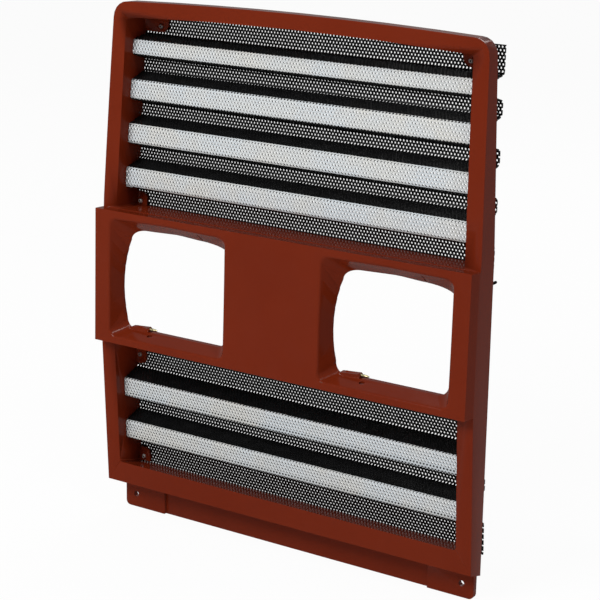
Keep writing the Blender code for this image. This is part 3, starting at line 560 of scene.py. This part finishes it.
def spun(bm, profile, origin, axis, steps):
    """Add a turned form, from a profile of (radius, distance along the axis) points."""
    side = axis.orthogonal().normalized()
    points = [bm.verts.new(origin + side * radius + axis * run) for radius, run in profile]
    edges = [bm.edges.new(pair) for pair in zip(points, points[1:])]
    bmesh.ops.spin(bm, geom=points + edges, cent=origin, axis=axis, angle=math.tau, steps=steps,
                   use_merge=True)
    bmesh.ops.remove_doubles(bm, verts=bm.verts, dist=TOUCH)
    bmesh.ops.recalc_face_normals(bm, faces=bm.faces)


def blind_rivet(node, material, dark):
    """Blind rivet turned about its own line from front to back, with its pin hole painted dark as
    shade.
    """
    low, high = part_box(node)
    centre = (low + high) / 2
    head = (high.x - low.x) / 2
    length = high.y - low.y
    origin = Vector((centre.x, low.y, centre.z))
    hollow = [(0.0, RIVET_HOLLOW_DEPTH), (RIVET_HOLLOW, RIVET_HOLLOW_DEPTH),
              (RIVET_HOLLOW, 0.0004), (RIVET_HOLLOW + 0.0003, 0.0001)]
    dome = [(head * 0.62, 0.0002), (head * 0.86, 0.0009), (head * 0.98, RIVET_BRIM - 0.0006),
            (head * 0.99, RIVET_BRIM), (RIVET_SHANK, RIVET_BRIM)]
    tail = [(RIVET_SHANK, length - 0.0021), (RIVET_SHANK * 1.5, length - 0.002),
            (RIVET_SHANK * 1.45, length - 0.0004), (RIVET_SHANK * 1.1, length - 0.0001),
            (0.0, length - 0.0001)]
    bm = bmesh.new()
    spun(bm, hollow + dome + tail, origin, Vector((0, 1, 0)), 24)
    piece = finish_piece("blind_" + node, bm, material, [node])
    piece.data.materials.append(dark)
    # Faces inside the pin hollow take the near-black second finish: painted shade in the hole.
    for face in piece.data.polygons:
        off_centre = Vector((face.center.x - centre.x, face.center.z - centre.z)).length
        if off_centre < RIVET_HOLLOW and face.center.y < low.y + RIVET_BRIM:
            face.material_index = 1


rivet_zinc = plated_material("bright_zinc", ZINC, ZINC_DULL, 0.45)
# Finish for the inside of the pin hollows: near black, as painted shade.
rivet_hollow_painted_shade = plated_material("rivet_hollow_painted_shade", HOLLOW_PAINTED_SHADE, HOLLOW_PAINTED_SHADE, 0.6)
for node in sorted(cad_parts):
    if node.startswith("rivet_"):
        blind_rivet(node, rivet_zinc, rivet_hollow_painted_shade)


# Lamp screws: yellow passivated self-tapping screws, one driven into the boss at the foot of each
# lamp opening, with a rolled thread and a blunt point that stand out of it. A thread's root and
# crest are half widths, as shares of its pitch.
THREAD_DEPTH = 0.0005
THREAD_STEPS = 14
THREAD_ROOT = 0.42
THREAD_CREST = 0.1
LAMP_SCREW_PITCH = 0.0014
LAMP_SCREW_POINT = 0.0035
LAMP_SCREW_PLAIN = 0.006
YELLOW_ZINC = (0.66, 0.58, 0.34, 1.0)
YELLOW_DULL = (0.42, 0.40, 0.22, 1.0)


def thread(bm, start, axis, radius, pitch, turns):
    """Add a raised helical ridge round an axis."""
    side = axis.orthogonal().normalized()
    shape = [(radius - THREAD_DEPTH, -THREAD_ROOT), (radius, -THREAD_CREST),
             (radius, THREAD_CREST), (radius - THREAD_DEPTH, THREAD_ROOT)]
    points = [bm.verts.new(start + side * out + axis * run * pitch) for out, run in shape]
    edges = [bm.edges.new(pair) for pair in zip(points, points[1:] + points[:1])]
    faces = [bm.faces.new(points)]
    bmesh.ops.spin(bm, geom=points + edges + faces, cent=start, axis=axis,
                   dvec=axis * (pitch / THREAD_STEPS), angle=math.tau * turns,
                   steps=int(THREAD_STEPS * turns), use_duplicate=False)


def lamp_screw(node, material):
    """Screw along X with a pointed core and a thread round it."""
    low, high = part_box(node)
    axis = Vector((1, 0, 0))
    start = Vector((low.x, (low.y + high.y) / 2, (low.z + high.z) / 2))
    length = high.x - low.x
    radius = (high.z - low.z) / 2 * 0.97
    core = radius - THREAD_DEPTH * 0.8
    bm = bmesh.new()
    profile = [(0.0, 0.0), (core, 0.0), (core, length - LAMP_SCREW_POINT),
               (core * 0.3, length - 0.0002), (0.0, length)]
    spun(bm, profile, start, axis, 20)
    turns = int((length - LAMP_SCREW_PLAIN) / LAMP_SCREW_PITCH)
    thread(bm, start + axis * 0.001, axis, radius, LAMP_SCREW_PITCH, turns)
    finish_piece("threaded_" + node, bm, material, [node])


yellow_zinc = plated_material("yellow_zinc", YELLOW_ZINC, YELLOW_DULL, 0.3)
lamp_screw("lamp_screw_left", yellow_zinc)
lamp_screw("lamp_screw_right", yellow_zinc)


# Side studs: black oxided studs in lugs inside the skirt, beside the ends of the lamp band, with a
# seating collar and a threaded end that stands out to the rear.
STUD_PITCH = 0.0008
STUD_SEAT = 0.0103
STUD_COLLAR = 0.003
STUD_PLAIN = 0.001
STUD_TIP = 0.002
OXIDE = (0.018, 0.018, 0.019, 1.0)
OXIDE_WORN = (0.07, 0.068, 0.065, 1.0)


def side_stud(node, material):
    """Stud along Y: a buried shank, a collar, and a threaded end behind it."""
    low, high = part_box(node)
    axis = Vector((0, 1, 0))
    start = Vector(((low.x + high.x) / 2, low.y, (low.z + high.z) / 2))
    length = high.y - low.y
    collar = (high.x - low.x) / 2
    radius = collar * 0.62
    core = radius - THREAD_DEPTH * 0.5
    shoulder = STUD_SEAT + STUD_COLLAR
    profile = [(0.0, 0.0), (core, 0.0), (core, STUD_SEAT), (collar * 0.97, STUD_SEAT),
               (collar, STUD_SEAT + 0.0004), (collar, shoulder - 0.0004),
               (collar * 0.97, shoulder), (core, shoulder),
               (core, length - 0.001), (core * 0.55, length), (0.0, length)]
    bm = bmesh.new()
    spun(bm, profile, start, axis, 20)
    turns = int((length - shoulder - STUD_PLAIN - STUD_TIP) / STUD_PITCH)
    thread(bm, start + axis * (shoulder + STUD_PLAIN), axis, radius, STUD_PITCH, turns)
    finish_piece("threaded_" + node, bm, material, [node])


black_oxide = plated_material("black_oxide", OXIDE, OXIDE_WORN, 0.45)
side_stud("side_stud_left", black_oxide)
side_stud("side_stud_right", black_oxide)
